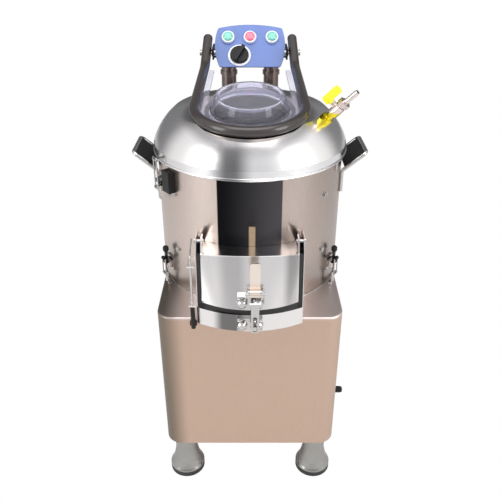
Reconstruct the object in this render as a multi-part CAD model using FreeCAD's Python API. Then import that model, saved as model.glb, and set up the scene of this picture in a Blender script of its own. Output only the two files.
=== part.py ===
import FreeCAD, Part
import math
import os

# Electric potato peeler: a floor-standing machine with a drum on a cabinet.
# Millimetres, +Z up, the drum's axis is X = Y = 0, the front is -Y, the floor is z = 0.

Vector = FreeCAD.Vector
Rotation = FreeCAD.Rotation
Placement = FreeCAD.Placement

# Clearances
running = 0.05
slack = 0.2
apart = 0.3

# Cabinet
cabinet_half_width = 194.5
cabinet_front = -247.0
cabinet_rear = 253.0
cabinet_bottom = 116.0
cabinet_top = 471.0
cabinet_corner = 35.0
cabinet_fold = 4.0
sheet = 2.0
floor_panel_thickness = 3.0
vent_count = 6
vent_length = 90.0
vent_width = 8.0
vent_pitch = 26.0
vent_y = 40.0

# Cable gland
gland_y = -150.0
gland_z = 193.0
gland_hole_radius = 8.0
gland_flange_radius = 11.0
gland_length = 27.0
cable_radius = 4.0

# Legs and feet
leg_x = 153.5
leg_y = 206.0
leg_radius = 26.0
leg_wall = 2.0
foot_radius = 40.7
pad_height = 16.0
bell_top = 66.0

# Drum
drum_radius = 200.0
drum_top = 757.0
drum_floor_thickness = 3.0
liner_thickness = 2.0
liner_bottom = 512.0
liner_top = 745.0
liner_screw_heights = (568.0, 695.0)
liner_screw_angles = (-50.0, 50.0, 130.0, -130.0)
screw_radius = 2.5
screw_head_radius = 5.0
screw_head_height = 3.5

# Turning group
shaft_radius = 12.5
pulley_bottom = 330.0
pulley_height = 20.0
pulley_seat = 105.0
motor_pulley_seat = 26.0
pulley_lip = 4.0
belt_thickness = 3.0
belt_height = 14.0
disc_radius = 188.0
disc_top = 495.0
disc_thickness = 12.0
disc_ridge_height = 8.0
disc_ridge_count = 3
bearing_radius = 26.0
bearing_height = 15.0
bearing_bottoms = (385.0, 440.0)
housing_radius = 36.0
housing_flange_radius = 62.0
housing_bottom = 380.0
seal_radius = 29.8
motor_y = -165.0
motor_radius = 62.0
motor_bottom = 140.0
motor_top = 322.0
motor_shaft_radius = 9.0
motor_fin_count = 18

# Waste outlet
waste_radius = 27.0
outlet_radius = 25.0
outlet_length = 45.0
waste_x = 110.0
waste_y = 110.0
waste_z = 400.0
waste_reach = 304.0

# Lid
lid_bead_ring = 205.5
lid_bead_radius = 3.5
lid_skirt_radius = 207.0
lid_skirt_top = 774.0
lid_crown = 848.0
lid_crown_radius = 124.0
lid_flank = (191.0, 806.0)
lid_brow = (160.0, 840.0)
lid_turn = (143.0, 846.5)
gasket_height = 4.0

# Feed collar, leaning towards the front
collar_y = -61.0
collar_z = 846.0
collar_lean = 8.5
collar_radius = 120.0
collar_depth = 40.0
feed_radius = 78.0
feed_lip_depth = 14.0

# Clear cover
cover_seat = 3.0
cover_wall_radius = 78.0
cover_rim_radius = 67.0
cover_height = 38.5
cover_disc_height = 29.0
cover_wall = 3.0
strip_width = 11.0
strip_length = 215.0
seal_outer = 92.0
seal_inner = 84.0

# Bail tube and its hinge
bail_radius = 112.0
bail_tube_radius = 10.9
bail_bend = 60.0
bail_end_round = 7.0
bail_height = 11.2
bail_knee = (104.0, 160.0, 889.0)
bail_tip = (99.4, 230.0, 941.0)
hinge_y = 198.0
hinge_z = 914.0
hinge_pin_radius = 4.0
hinge_lug_inner = 84.0
hinge_lug_outer = 88.0
hinge_lug_half = 13.5
hinge_lug_rear = 240.0

# Control panel
panel_foot = (0.0, 190.0, 883.5)
panel_lean = 38.0
panel_height = 107.0
panel_bottom_width = 144.0
panel_waist_width = 167.0
panel_top_width = 152.0
panel_thickness = 4.0
box_half_width = 72.0
box_wall = 2.5
box_rear_foot = (262.0, 868.0)
box_rear_head = (275.0, 950.0)
button_spacing = 52.0
button_height = 73.0
button_radius = 11.5
button_stem_radius = 4.2
button_neck_radius = 10.9
bezel_radius = 15.0
button_travel = 3.5
timer_u = -25.0
timer_w = 28.0
timer_ring_radius = 27.0
timer_knob_radius = 21.5
timer_stem_radius = 3.0

# Posts
post_x = 51.0
post_y = 225.0
post_radius = 18.0
post_flange = 6.0
post_ring_bottom = 860.0
post_ring_height = 9.0

# Side handles
handle_rod_radius = 4.0
handle_bottom = 671.0
handle_bend_z = 717.0
handle_top = 758.0
handle_reach = 246.0
handle_half_length = 53.0
handle_bend = 11.0
insert_thickness = 3.0

# Chute and door
door_half_width = 97.5
door_bottom = 511.0
door_top = 611.0
door_side_y = -247.0
door_nose_y = -277.0
door_top_side_y = -232.0
door_top_nose_y = -240.0
cheek_inner = 106.0
cheek_thickness = 1.5
apron_bottom = 461.0
apron_top = 500.0
mouth_half_width = 95.0
mouth_bottom = 502.0
mouth_top = 608.0
door_axis_y = -205.0
door_axis_z = 628.0
door_pin_radius = 4.0
door_gap = 1.0

# Door latch
latch_x = 10.0
latch_axis_y = -290.0
latch_axis_z = 556.0
latch_pin_radius = 3.0
lever_width = 20.0
lever_length = 70.0
lever_thickness = 4.0
link_out = 8.0
link_up = 10.0
link_pin_radius = 2.5
stud_z = 486.0
stud_radius = 3.5
stud_length = 20.0
upper_saddle_front = -281.0
lower_saddle_front = -284.0
saddle_half_width = 25.0
lobe_x = 16.0
lobe_radius = 11.0
lobe_length = 10.0

# Draw latches on the drum
toggle_angle = 60.0
toggle_axis_z = 522.0
toggle_drop = 27.0
toggle_stand_off = 13.0
toggle_out = 6.0
toggle_up = 12.0
toggle_lever_length = 38.0
toggle_pin_radius = 2.0
toggle_wire_radius = 1.5
toggle_wire_x = 8.2
lid_latch_angle = -62.0
lid_latch_axis_z = 712.0
lid_latch_rise = 53.0
safety_switch_angle = -53.0

# Door switch rod
rod_x = -116.0
rod_y = -254.0
rod_radius = 2.25
rod_bottom = 475.0
rod_top = 604.0
rod_guides = (508.0, 599.0)
guide_thickness = 3.0
guide_rear = -222.0
sleeve_radius = 4.6
sleeve_bottom = 452.0

# Water inlet
valve_foot = (150.0, -75.0, 834.0)
valve_direction = (0.632, -0.316, 0.707)
valve_bore = 3.5
spigot_radius = 7.0
valve_stem_t = 36.0
valve_stem_radius = 3.0
barb_radius = 5.0
barb_count = 4

Z_UP = Vector(0, 0, 1)
X_OUT = Vector(1, 0, 0)
FORWARD = Vector(0, -1, 0)
ORIGIN = Vector(0, 0, 0)
floor_panel_top = cabinet_bottom + floor_panel_thickness
cheek_outer = cheek_inner + cheek_thickness
apron_side_y = cabinet_front - slack
apron_nose_y = door_nose_y + 0.5
nodes = {}


def keep(name, *shapes):
    """Adds each solid of the shapes to the node of this name."""
    for shape in shapes:
        nodes.setdefault(name, []).extend(shape.Solids)


def cylinder(radius, height, base=ORIGIN, axis=Z_UP):
    return Part.makeCylinder(radius, height, base, axis)


def block(x0, x1, y0, y1, z0, z1):
    return Part.makeBox(x1 - x0, y1 - y0, z1 - z0, Vector(x0, y0, z0))


def ring(outer, inner, z0, z1, x=0.0, y=0.0):
    base = Vector(x, y, z0)
    return cylinder(outer, z1 - z0, base).cut(cylinder(inner, z1 - z0, base))


def polygon(points):
    """A closed wire through 3-D points."""
    corners = [Vector(*p) for p in points]
    return Part.makePolygon(corners + [corners[0]])


def turned(profile, base=ORIGIN, axis=Z_UP):
    """Turns a closed (radius, height) outline about an axis through base."""
    face = Part.Face(polygon([(r, 0, h) for r, h in profile]))
    solid = face.revolve(ORIGIN, Z_UP, 360)
    solid.Placement = Placement(base, Rotation(Z_UP, axis))
    return solid


def side_plate(outline, x0, x1):
    """A flat plate of a (y, z) outline between two X positions."""
    face = Part.Face(polygon([(x0, y, z) for y, z in outline]))
    return face.extrude(Vector(x1 - x0, 0, 0))


def upright_block(x0, x1, y0, y1, z0, z1, corner):
    """A box whose upright edges are rounded."""
    solid = block(x0, x1, y0, y1, z0, z1)
    edges = [e for e in solid.Edges if abs(e.tangentAt(e.FirstParameter).z) > 0.99]
    return solid.makeFillet(corner, edges)


def bar(start, end, width, height):
    """A straight bar of rectangular section whose width lies level."""
    start, end = Vector(*start), Vector(*end)
    along = end - start
    level = Z_UP.cross(along).normalize()
    rise = Vector(along).normalize().cross(level)
    corners = []
    for a, b in ((-1, -1), (1, -1), (1, 1), (-1, 1)):
        corners.append(start + level * (a * width / 2) + rise * (b * height / 2))
    return Part.Face(Part.makePolygon(corners + [corners[0]])).extrude(along)


def bent_rod(points, radius, bend):
    """A round rod along straight runs joined by tangent arcs."""
    points = [Vector(*p) for p in points]
    edges = []
    start = points[0]
    for before, corner, after in zip(points, points[1:], points[2:]):
        inward = (before - corner).normalize()
        outward = (after - corner).normalize()
        half = inward.getAngle(outward) / 2
        reach = bend / math.tan(half)
        first = corner + inward * reach
        last = corner + outward * reach
        middle = corner + (inward + outward).normalize() * (bend / math.sin(half) - bend)
        edges.append(Part.LineSegment(start, first).toShape())
        edges.append(Part.Arc(first, middle, last).toShape())
        start = last
    edges.append(Part.LineSegment(start, points[-1]).toShape())
    circle = Part.Wire([Part.makeCircle(radius, points[0], points[1] - points[0])])
    return Part.Wire(edges).makePipeShell([circle], True, True)


def spun(shape, angle):
    """A copy turned about the drum's axis."""
    copy = shape.copy()
    copy.rotate(ORIGIN, Z_UP, angle)
    return copy


def mirrored(shape):
    """A copy on the other side of the machine."""
    return shape.mirror(ORIGIN, X_OUT)


def on_lid(shape):
    """Sets a shape drawn about the collar's centre onto the leaning collar."""
    copy = shape.copy()
    copy.rotate(ORIGIN, X_OUT, collar_lean)
    copy.translate(Vector(0, collar_y, collar_z))
    return copy


def lid_point(x, y, z):
    """A point of the leaning collar in the machine's frame."""
    lean = math.radians(collar_lean)
    return Vector(x, collar_y + y * math.cos(lean) - z * math.sin(lean),
                  collar_z + y * math.sin(lean) + z * math.cos(lean))


def segments(points):
    return [Part.LineSegment(a, b).toShape() for a, b in zip(points, points[1:])]


def bow(side_x, side_y, nose_y, z, sign=1):
    """The bowed front line of the door or the apron, seen from above."""
    return Part.Arc(Vector(-sign * side_x, side_y, z), Vector(0, nose_y, z),
                    Vector(sign * side_x, side_y, z)).toShape()


def band(side_x, side_y, nose_y, thickness, z):
    """The thin outline of a bowed sheet at one height."""
    right = [Vector(side_x, side_y, z), Vector(side_x, side_y + thickness, z)]
    left = [Vector(-side_x, side_y + thickness, z), Vector(-side_x, side_y, z)]
    back = bow(side_x, side_y + thickness, nose_y + thickness, z, -1)
    return Part.Wire([bow(side_x, side_y, nose_y, z)] + segments(right) + [back] + segments(left))


def bow_face(side_x, side_y, nose_y, back_y, z):
    """A closed outline, bowed in front and straight behind."""
    behind = [Vector(side_x, side_y, z), Vector(side_x, back_y, z), Vector(-side_x, back_y, z),
              Vector(-side_x, side_y, z)]
    return Part.Wire([bow(side_x, side_y, nose_y, z)] + segments(behind))


def make_cabinet():
    outer = upright_block(-cabinet_half_width, cabinet_half_width, cabinet_front, cabinet_rear,
                          cabinet_bottom, cabinet_top, cabinet_corner)
    rim = [e for e in outer.Edges if e.CenterOfMass.z > cabinet_top - 0.01]
    outer = outer.makeFillet(cabinet_fold, rim)
    cavity = upright_block(-cabinet_half_width + sheet, cabinet_half_width - sheet,
                           cabinet_front + sheet, cabinet_rear - sheet,
                           cabinet_bottom - sheet, cabinet_top - sheet, cabinet_corner - sheet)
    deep = 4 * sheet
    holes = [cylinder(seal_radius + slack, deep, Vector(0, 0, cabinet_top - deep / 2)),
             cylinder(waste_radius + slack, deep, Vector(waste_x, waste_y, cabinet_top - deep / 2)),
             cylinder(waste_radius + slack, deep, Vector(waste_x, cabinet_rear + deep / 2, waste_z), FORWARD),
             cylinder(gland_hole_radius, deep, Vector(cabinet_half_width - deep / 2, gland_y, gland_z), X_OUT)]
    keep("base_cabinet", outer.cut([cavity] + holes))

    fit = sheet + slack
    panel = upright_block(-cabinet_half_width + fit, cabinet_half_width - fit,
                          cabinet_front + fit, cabinet_rear - fit,
                          cabinet_bottom, floor_panel_top, cabinet_corner - fit)
    slots = []
    for n in range(vent_count):
        x = (n - (vent_count - 1) / 2) * vent_pitch
        slots.append(block(x - vent_width / 2, x + vent_width / 2, vent_y, vent_y + vent_length,
                           cabinet_bottom - 1, floor_panel_top + 1))
    keep("base_floor_panel", panel.cut(slots))

    neck = gland_hole_radius - slack
    profile = [(cable_radius, -8), (gland_flange_radius, -8), (gland_flange_radius, -sheet), (neck, -sheet),
               (neck, 0), (gland_flange_radius, 0), (gland_flange_radius, 6), (neck, 8),
               (neck, gland_length - 4), (neck - 2, gland_length), (cable_radius, gland_length)]
    keep("cable_gland", turned(profile, Vector(cabinet_half_width, gland_y, gland_z), X_OUT))


def make_feet():
    inner = leg_radius - leg_wall
    for x in (-leg_x, leg_x):
        for y in (-leg_y, leg_y):
            bell = [(inner, pad_height), (foot_radius, pad_height), (foot_radius, pad_height + 3),
                    (foot_radius - 3, pad_height + 8), (foot_radius - 8, pad_height + 20),
                    (leg_radius + 3, pad_height + 34), (leg_radius, bell_top),
                    (leg_radius, cabinet_bottom), (inner, cabinet_bottom)]
            pad = [(0, 0), (foot_radius - 3, 0), (foot_radius, 3), (foot_radius, pad_height), (0, pad_height)]
            keep("bell_feet", turned(bell, Vector(x, y, 0)))
            keep("foot_pads", turned(pad, Vector(x, y, 0)))


def liner_screw(angle, height):
    """One slotted screw through the drum wall and the liner."""
    inside = drum_radius - sheet - liner_thickness - 3
    shank = cylinder(screw_radius, drum_radius - inside + 1, Vector(0, -inside, height), FORWARD)
    seat = -drum_radius - running
    head = cylinder(screw_head_radius, screw_head_height, Vector(0, seat, height), FORWARD)
    slot = block(-0.6, 0.6, seat - screw_head_height - 1, seat - screw_head_height + 1,
                 height - screw_head_radius, height + screw_head_radius)
    return spun(shank.fuse(head).cut(slot), angle)


def make_drum():
    wall = ring(drum_radius, drum_radius - sheet, cabinet_top, drum_top)
    floor = cylinder(drum_radius - sheet, drum_floor_thickness, Vector(0, 0, cabinet_top))
    mouth = block(-mouth_half_width, mouth_half_width, -drum_radius - 5, -150, mouth_bottom, mouth_top)
    liner_radius = drum_radius - sheet - slack
    liner = ring(liner_radius, liner_radius - liner_thickness, liner_bottom, liner_top)
    bores = []
    for angle in liner_screw_angles:
        for height in liner_screw_heights:
            start = Vector(0, -(drum_radius - 20), height)
            bores.append(spun(cylinder(screw_radius + slack, 30, start, FORWARD), angle))
            keep("liner_screws", liner_screw(angle, height))
    drains = [cylinder(seal_radius + slack, 10, Vector(0, 0, cabinet_top - 1)),
              cylinder(outlet_radius - sheet, 10, Vector(waste_x, waste_y, cabinet_top - 1))]
    keep("drum_shell", wall.fuse(floor).cut([mouth] + bores + drains))
    keep("abrasive_liner", liner.cut([mouth] + bores))

    path = [(waste_x, waste_y, cabinet_top), (waste_x, waste_y, waste_z), (waste_x, waste_reach, waste_z)]
    bend = waste_radius * 1.4
    pipe = bent_rod(path, waste_radius, bend).cut(bent_rod(path, outlet_radius - sheet, bend))
    shoulder = outlet_length + waste_radius - outlet_radius
    around = [(outlet_radius, 0), (waste_radius + 1, 0), (waste_radius + 1, shoulder), (waste_radius, shoulder),
              (outlet_radius, outlet_length)]
    keep("waste_pipe", pipe.cut(turned(around, Vector(waste_x, waste_reach, waste_z), FORWARD)))


def make_turning_group():
    under_top = cabinet_top - sheet
    body = cylinder(housing_flange_radius, 6, Vector(0, 0, under_top - 6))
    body = body.fuse(cylinder(housing_radius, under_top - housing_bottom, Vector(0, 0, housing_bottom)))
    body = body.cut(cylinder(shaft_radius + 6, 100, Vector(0, 0, housing_bottom - 1)))
    for z in bearing_bottoms:
        body = body.cut(cylinder(bearing_radius, bearing_height, Vector(0, 0, z)))
        race = ring(bearing_radius - running, shaft_radius + running, z, z + bearing_height)
        keep("bearings", race)
    keep("bearing_housing", body)
    keep("shaft_seal", ring(seal_radius, shaft_radius + running, under_top, cabinet_top + 7))

    pulley_top = pulley_bottom + pulley_height
    shaft = cylinder(shaft_radius, disc_top - pulley_bottom + 6, Vector(0, 0, pulley_bottom - 6))
    cap = [(0, disc_top), (20, disc_top), (20, disc_top + 3), (12, disc_top + 8), (0, disc_top + 9)]
    keep("drive_shaft", shaft.fuse(turned(cap)))
    disc = ring(disc_radius, shaft_radius + running, disc_top - disc_thickness, disc_top)
    for n in range(disc_ridge_count):
        ridge = cylinder(90, 30, Vector(95, -15, disc_top + disc_ridge_height - 90), Vector(0, 1, 0))
        ridge = ridge.common(block(40, 165, -30, 30, disc_top - 1, disc_top + disc_ridge_height))
        disc = disc.fuse(spun(ridge, 360 / disc_ridge_count * n))
    keep("abrasive_disc", disc)

    side = (pulley_height - belt_height) / 2 - 0.5
    for name, seat, bore, y in (("driven_pulley", pulley_seat, shaft_radius + running, 0),
                                ("motor_pulley", motor_pulley_seat, 0, motor_y)):
        lip = seat + pulley_lip
        profile = [(bore, pulley_bottom), (lip, pulley_bottom), (lip, pulley_bottom + side),
                   (seat, pulley_bottom + side), (seat, pulley_top - side), (lip, pulley_top - side),
                   (lip, pulley_top), (bore, pulley_top)]
        pulley = turned(profile, Vector(0, y, 0))
        if name == "motor_pulley":
            tail = motor_top - 40
            pulley = pulley.fuse(cylinder(motor_shaft_radius, pulley_bottom - tail, Vector(0, y, tail)))
        keep(name, pulley)
    keep("drive_belt", belt(pulley_bottom + side + 0.5))

    body = cylinder(motor_radius, motor_top - motor_bottom, Vector(0, motor_y, motor_bottom))
    body = body.fuse(cylinder(motor_radius - 8, motor_bottom - floor_panel_top,
                              Vector(0, motor_y, floor_panel_top)))
    for n in range(motor_fin_count):
        fin = block(motor_radius - 2, motor_radius + 5, -1.5, 1.5, motor_bottom + 20, motor_top - 20)
        fin.rotate(ORIGIN, Z_UP, 360 / motor_fin_count * n)
        fin.translate(Vector(0, motor_y, 0))
        body = body.fuse(fin)
    keep("motor_body", body.cut(cylinder(motor_shaft_radius + running, 60, Vector(0, motor_y, motor_top - 42))))


def belt(z):
    """A flat belt round both pulleys: the space between two loops."""
    distance = abs(motor_y)

    def loop(big, small):
        lean = math.asin((big - small) / distance)
        up, side = math.sin(lean), math.cos(lean)
        big_left, big_right = Vector(-big * side, -big * up, z), Vector(big * side, -big * up, z)
        small_left = Vector(-small * side, motor_y - small * up, z)
        small_right = Vector(small * side, motor_y - small * up, z)
        edges = [Part.Arc(big_right, Vector(0, big, z), big_left).toShape(),
                 Part.LineSegment(big_left, small_left).toShape(),
                 Part.Arc(small_left, Vector(0, motor_y - small, z), small_right).toShape(),
                 Part.LineSegment(small_right, big_right).toShape()]
        return Part.Face(Part.Wire(edges)).extrude(Vector(0, 0, belt_height))

    big, small = pulley_seat + apart, motor_pulley_seat + apart
    return loop(big + belt_thickness, small + belt_thickness).cut(loop(big, small))


def dome(inset):
    """The space under the lid's skin, drawn in by an inset for its inner face."""
    foot = drum_top - inset
    skirt = Vector(lid_skirt_radius - inset, 0, foot)
    shoulder = Vector(lid_skirt_radius - 0.5 - inset, 0, lid_skirt_top - inset * 0.2)
    flank = Vector(lid_flank[0] - inset * 0.82, 0, lid_flank[1] - inset * 0.58)
    brow = Vector(lid_brow[0] - inset * 0.62, 0, lid_brow[1] - inset * 0.78)
    turn = Vector(lid_turn[0] - inset * 0.2, 0, lid_turn[1] - inset)
    top = Vector(lid_crown_radius, 0, lid_crown - inset)
    edges = segments([Vector(0, 0, foot), skirt, shoulder])
    edges += [Part.Arc(shoulder, flank, brow).toShape(), Part.Arc(brow, turn, top).toShape()]
    edges += segments([top, Vector(0, 0, lid_crown - inset), Vector(0, 0, foot)])
    return Part.Face(Part.Wire(edges)).revolve(ORIGIN, Z_UP, 360)


def rim_bead():
    return Part.makeTorus(lid_bead_ring, lid_bead_radius, Vector(0, 0, drum_top))


def make_lid():
    seat = drum_top + gasket_height
    flange = ring(lid_skirt_radius - sheet / 2, drum_radius - 6, seat, seat + sheet)
    shell = dome(0).cut(dome(sheet)).fuse([rim_bead(), flange])
    opening = on_lid(cylinder(collar_radius + slack, 100, Vector(0, 0, -60)))
    keep("lid_dome", shell.cut([opening, valve_cylinder(spigot_radius + slack, -30, 20)]))
    keep("lid_gasket", ring(drum_radius + 1, drum_radius - 6, drum_top, seat))

    collar = ring(collar_radius, collar_radius - sheet, -collar_depth, 0)
    collar = collar.fuse(ring(collar_radius, feed_radius, -sheet, 0))
    collar = collar.fuse(ring(feed_radius + sheet, feed_radius, -feed_lip_depth, 0))
    keep("feed_collar", on_lid(collar))
    keep("cover_seal", on_lid(ring(seal_outer, seal_inner, 0, cover_seat - slack)))


def bail_line():
    """The bail's middle line: an arm, the half round in front, and the other arm."""
    sides = []
    for sign in (-1, 1):
        knee, tip = [Vector(sign * x, y, z) for x, y, z in (bail_knee, bail_tip)]
        end = tip + (tip - knee).normalize() * bail_end_round
        sides.append([lid_point(sign * bail_radius, 0, bail_height), knee, end])
    left, right = sides
    nose = lid_point(0, -bail_radius, bail_height)
    return arm(left[::-1]) + [Part.Arc(left[0], nose, right[0]).toShape()] + arm(right)


def arm(points):
    """Two straight runs joined by a tangent arc."""
    start, corner, end = points
    inward, outward = (start - corner).normalize(), (end - corner).normalize()
    half = inward.getAngle(outward) / 2
    reach = bail_bend / math.tan(half)
    first, last = corner + inward * reach, corner + outward * reach
    middle = corner + (inward + outward).normalize() * (bail_bend / math.sin(half) - bail_bend)
    return [Part.LineSegment(start, first).toShape(), Part.Arc(first, middle, last).toShape(),
            Part.LineSegment(last, end).toShape()]


def make_cover():
    w, r, h, d = cover_wall, cover_rim_radius, cover_height, cover_disc_height
    flange, flange_top, foot = bail_radius - bail_tube_radius + 0.5, cover_seat + 4, cover_wall_radius
    profile = [(flange, cover_seat), (flange, flange_top), (foot + 3, flange_top), (foot, flange_top + 3),
               (r + 4, h - 4.5), (r + 2.5, h - 1), (r, h), (r - 3, h - 1), (r - 5, h - 4.5), (r - 7, d),
               (0, d), (0, d - w), (r - 6, d - w), (r - 3, h - 5.5), (r - 1, h - w - 0.2),
               (r + 0.5, h - w - 0.2), (r + 1.3, h - 5), (foot - w, flange_top + 2), (foot - w + 2, cover_seat)]
    cover = turned(profile)
    inset = bail_tube_radius + apart + strip_width / 2
    for sign in (-1, 1):
        start = (sign * (bail_radius - inset), 0, cover_seat + 2)
        end = (sign * (bail_knee[0] - inset), strip_length, cover_seat + 2)
        cover = cover.fuse(bar(start, end, strip_width, 4))
    keep("clear_cover", on_lid(cover))

    line = Part.Wire(bail_line())
    start = line.Edges[0]
    circle = Part.Wire([Part.makeCircle(bail_tube_radius, start.Vertexes[0].Point, start.tangentAt(0))])
    tube = line.makePipeShell([circle], True, False, 0)
    ends = [f for f in tube.Faces if f.Surface.TypeId == "Part::GeomPlane"]
    tube = tube.makeFillet(bail_end_round, [f.OuterWire.Edges[0] for f in ends])
    bore = cylinder(hinge_pin_radius + running, 400, Vector(-200, hinge_y, hinge_z), X_OUT)
    keep("bail_tube", tube.cut(bore))


def panel_point(u, w, n):
    """A point of the control panel: across, up the face, and out of the face."""
    lean = math.radians(panel_lean)
    return Vector(*panel_foot) + Vector(u, w * math.sin(lean) - n * math.cos(lean),
                                        w * math.cos(lean) + n * math.sin(lean))


def panel_normal():
    return (panel_point(0, 0, 1) - panel_point(0, 0, 0)).normalize()


def on_panel(profile, u, w):
    """A turned piece standing on the panel's face."""
    return turned(profile, panel_point(u, w, 0), panel_normal())


def panel_cylinder(u, w, radius, n0, n1):
    return cylinder(radius, n1 - n0, panel_point(u, w, n0), panel_normal())


def panel_block(u0, u1, w0, w1, n0, n1):
    corners = [panel_point(u, w, n0) for u, w in ((u0, w0), (u1, w0), (u1, w1), (u0, w1))]
    return Part.Face(Part.makePolygon(corners + [corners[0]])).extrude(panel_normal() * (n1 - n0))


def box_outline():
    """The control box from the side, behind its faceplate."""
    foot = panel_point(0, 2, -panel_thickness)
    head = panel_point(0, panel_height - 8, -panel_thickness)
    return [(foot.y, foot.z), box_rear_foot, box_rear_head, (head.y, head.z)]


def make_faceplate():
    low, waist, top = panel_bottom_width / 2, panel_waist_width / 2, panel_top_width / 2
    left, right = [[panel_point(sign * low, 0, 0), panel_point(sign * waist, panel_height * 0.55, 0),
                    panel_point(sign * top, panel_height - 9, 0)] for sign in (-1, 1)]
    edges = segments([left[0], right[0]]) + [Part.Arc(*right).toShape()]
    edges.append(Part.Arc(right[2], panel_point(0, panel_height, 0), left[2]).toShape())
    edges.append(Part.Arc(left[2], left[1], left[0]).toShape())
    plate = Part.Face(Part.Wire(edges)).extrude(panel_normal() * -panel_thickness)
    corners = [e for e in plate.Edges if abs(e.tangentAt(e.FirstParameter).dot(panel_normal())) > 0.99]
    plate = plate.makeFillet(7, corners)
    holes = [panel_cylinder(n * button_spacing, button_height, button_neck_radius + slack, -20, 20)
             for n in (-1, 0, 1)]
    holes.append(panel_cylinder(timer_u, timer_w, 6, -20, 20))
    keep("control_faceplate", plate.cut(holes))


def make_box():
    outline = box_outline()
    outer = side_plate(outline, -box_half_width, box_half_width)
    hollow = Part.Face(polygon([(0, y, z) for y, z in outline])).makeOffset2D(-box_wall)
    reach = box_half_width - box_wall
    hollow.translate(Vector(-reach, 0, 0))
    window = panel_block(-reach, reach, 10, panel_height - 14, -panel_thickness - 6, -panel_thickness + 1)
    keep("control_box", outer.cut([hollow.extrude(Vector(2 * reach, 0, 0)), window]))

    foot, rear = outline[0], outline[1]
    over = hinge_z + post_radius
    above = side_plate([foot, rear, (rear[0] + post_radius, over), (foot[0] - post_radius, over)],
                       -2 * post_x, 2 * post_x)
    inner, ring_top = post_radius - sheet, post_ring_bottom + post_ring_height
    for x in (-post_x, post_x):
        post = ring(post_radius, inner, cabinet_top, hinge_z, x, post_y)
        post = post.fuse([ring(post_radius + 2.6, inner, post_ring_bottom, ring_top, x, post_y),
                          ring(post_radius + post_flange, inner, cabinet_top, cabinet_top + 5, x, post_y)])
        keep("panel_posts", post.cut(above))


def make_controls():
    stem, neck = button_stem_radius, button_neck_radius
    for n, name in ((-1, "start_button"), (0, "stop_button"), (1, "pulse_button")):
        u, w = n * button_spacing, button_height
        bezel = [(button_radius + apart, 8), (bezel_radius - 1.2, 8), (bezel_radius, 6.5), (bezel_radius, 0),
                 (neck, 0), (neck, -16), (stem + apart, -16), (stem + apart, 1), (button_radius + apart, 1)]
        contact = panel_block(u - 11, u + 11, w - 11, w + 11, -26, -16)
        contact = contact.cut(panel_cylinder(u, w, stem + apart, -23, -10))
        keep("button_bezels", on_panel(bezel, u, w).fuse(contact))
        under = 1.2 + button_travel
        cap = [(0, 12), (8, 11.6), (11, 10), (button_radius, 8.5), (button_radius, under), (stem, under),
               (stem, -18), (0, -18)]
        keep(name, on_panel(cap, u, w))

    bore, knob_r = timer_stem_radius + running, timer_knob_radius
    seat = [(bore, -panel_thickness), (5.8, -panel_thickness), (5.8, 0), (timer_ring_radius, 0),
            (timer_ring_radius, 2), (timer_ring_radius - 1, 3), (knob_r + 1, 3), (knob_r, 2.4), (bore, 2.4)]
    body = panel_block(timer_u - 16, timer_u + 16, timer_w - 12, timer_w + 16, -20, -panel_thickness)
    body = body.cut(panel_cylinder(timer_u, timer_w, bore, -13, 0))
    keep("timer_housing", on_panel(seat, timer_u, timer_w).fuse(body))
    knob = on_panel([(0, 2.8), (knob_r, 2.8), (knob_r, 8), (knob_r - 1.5, 10), (0, 10)], timer_u, timer_w)
    grip = panel_block(1 - knob_r, knob_r - 1, -4, 4, 9, 20).common(panel_cylinder(0, 0, knob_r - 1, 0, 30))
    grip.rotate(panel_point(0, 0, 0), panel_normal(), 60)
    grip.translate(panel_point(timer_u, timer_w, 0) - panel_point(0, 0, 0))
    keep("timer_knob", knob.fuse([grip, panel_cylinder(timer_u, timer_w, timer_stem_radius, -12, 10)]))


def make_cover_hinge():
    share = (hinge_y - bail_knee[1]) / (bail_tip[1] - bail_knee[1])
    arm_x = bail_knee[0] + (bail_tip[0] - bail_knee[0]) * share
    half = hinge_lug_half
    lug = block(box_half_width, hinge_lug_outer, hinge_y - half, hinge_lug_rear, hinge_z - half, hinge_z + half)
    before_plate = panel_block(-hinge_lug_inner, hinge_lug_inner, -40, 160, -panel_thickness, 60)
    lug = lug.cut(before_plate)
    lug = lug.fuse(cylinder(8, arm_x - bail_tube_radius - 0.7 - hinge_lug_outer,
                            Vector(hinge_lug_outer, hinge_y, hinge_z), X_OUT))
    lug = lug.cut(cylinder(hinge_pin_radius + running, 60, Vector(60, hinge_y, hinge_z), X_OUT))
    inner, head = hinge_lug_inner - 3, arm_x + bail_tube_radius + 1
    pin = cylinder(hinge_pin_radius, head - inner, Vector(inner, hinge_y, hinge_z), X_OUT)
    pin = pin.fuse([cylinder(7, 4, Vector(head, hinge_y, hinge_z), X_OUT),
                    cylinder(7, 3, Vector(inner, hinge_y, hinge_z), X_OUT)])
    keep("hinge_lugs", lug, mirrored(lug))
    keep("hinge_pins", pin, mirrored(pin))


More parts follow.
